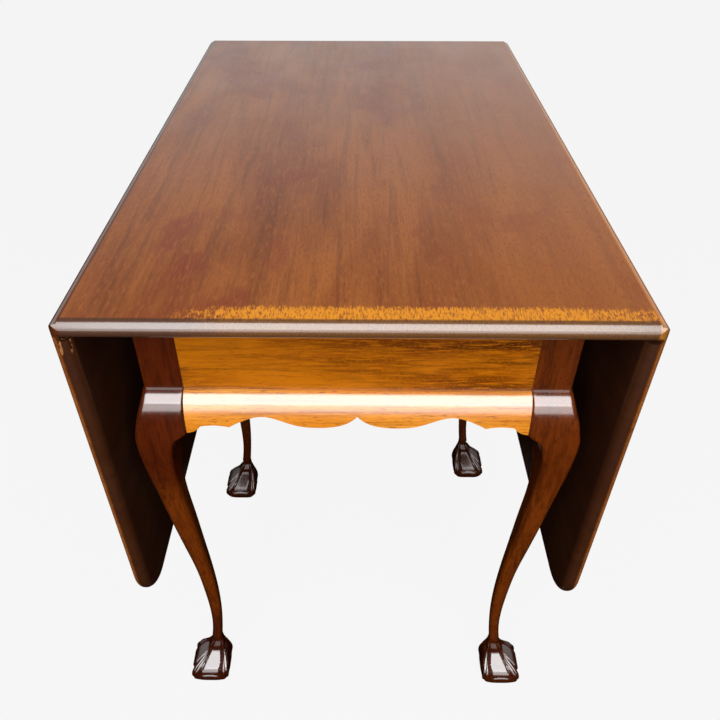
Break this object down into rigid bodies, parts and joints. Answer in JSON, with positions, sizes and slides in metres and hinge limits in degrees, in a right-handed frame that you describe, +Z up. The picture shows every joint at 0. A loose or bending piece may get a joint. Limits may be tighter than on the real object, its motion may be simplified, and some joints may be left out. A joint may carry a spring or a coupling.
{
  "type": "drop leaf table",
  "caption": "Rectangular drop leaf dining table with rule-jointed hanging leaves, cabriole legs on claw and ball feet, and swing legs on wooden gates.",
  "frame": {"origin": "on the floor, under the middle of the table", "axes": "+Z up, +Y along the length of the top towards its far end, +X across it towards the right leaf"},
  "size_m": [0.57, 0.899, 0.72],
  "materials": {
    "top_mahogany": "french polished, worn",
    "leaf_mahogany": "french polished, dark",
    "leg_mahogany": "carved and polished",
    "rail_mahogany": "waxed, golden",
    "inner_oak": "sawn, unfinished",
    "hinge_iron": "blackened",
    "screw_steel": "aged",
    "pin_steel": "aged"
  },
  "bodies": {
    "frame": {"table_top": "top_mahogany", "leg_near_left": "leg_mahogany", "leg_near_right": "leg_mahogany", "leg_far_left": "leg_mahogany", "leg_far_right": "leg_mahogany", "end_rail_near": "rail_mahogany", "end_rail_far": "rail_mahogany", "end_skirt_near": "rail_mahogany", "end_skirt_far": "rail_mahogany", "cross_bearer_near": "inner_oak", "cross_bearer_far": "inner_oak", "inner_side_rail_left": "inner_oak", "inner_side_rail_right": "inner_oak", "outer_side_rail_left": "inner_oak", "outer_side_rail_right": "inner_oak", "hinge_rail_left": "inner_oak", "hinge_rail_right": "inner_oak", "gate_pin_left": "pin_steel", "gate_pin_right": "pin_steel", "corner_glue_blocks": "inner_oak", "top_fixing_blocks": "inner_oak", "top_fixing_screws": "screw_steel", "hinge_top_flaps_left": "hinge_iron", "hinge_top_flaps_right": "hinge_iron", "hinge_pins_left": "pin_steel", "hinge_pins_right": "pin_steel", "hinge_top_screws_left": "screw_steel", "hinge_top_screws_right": "screw_steel"},
    "left_leaf": {"leaf_left": "leaf_mahogany", "leaf_stop_left": "inner_oak", "hinge_leaf_flaps_left": "hinge_iron", "hinge_leaf_screws_left": "screw_steel"},
    "right_leaf": {"leaf_right": "leaf_mahogany", "leaf_stop_right": "inner_oak", "hinge_leaf_flaps_right": "hinge_iron", "hinge_leaf_screws_right": "screw_steel"},
    "left_gate": {"fly_rail_left": "inner_oak", "swing_leg_left": "leg_mahogany"},
    "right_gate": {"fly_rail_right": "inner_oak", "swing_leg_right": "leg_mahogany"}
  },
  "joints": [
    {"name": "left_leaf_hinge", "type": "hinge", "parent": "frame", "child": "left_leaf", "pos_m": [-0.271, 0, 0.706], "axis": [0, 1, 0], "range_deg": [0, 90]},
    {"name": "right_leaf_hinge", "type": "hinge", "parent": "frame", "child": "right_leaf", "pos_m": [0.271, 0, 0.706], "axis": [0, -1, 0], "range_deg": [0, 90]},
    {"name": "left_gate_hinge", "type": "hinge", "parent": "frame", "child": "left_gate", "pos_m": [-0.2105, 0.252, 0.65], "axis": [0, 0, -1], "range_deg": [0, 3.2]},
    {"name": "right_gate_hinge", "type": "hinge", "parent": "frame", "child": "right_gate", "pos_m": [0.2105, -0.215, 0.65], "axis": [0, 0, -1], "range_deg": [0, 3.2]}
  ]
}
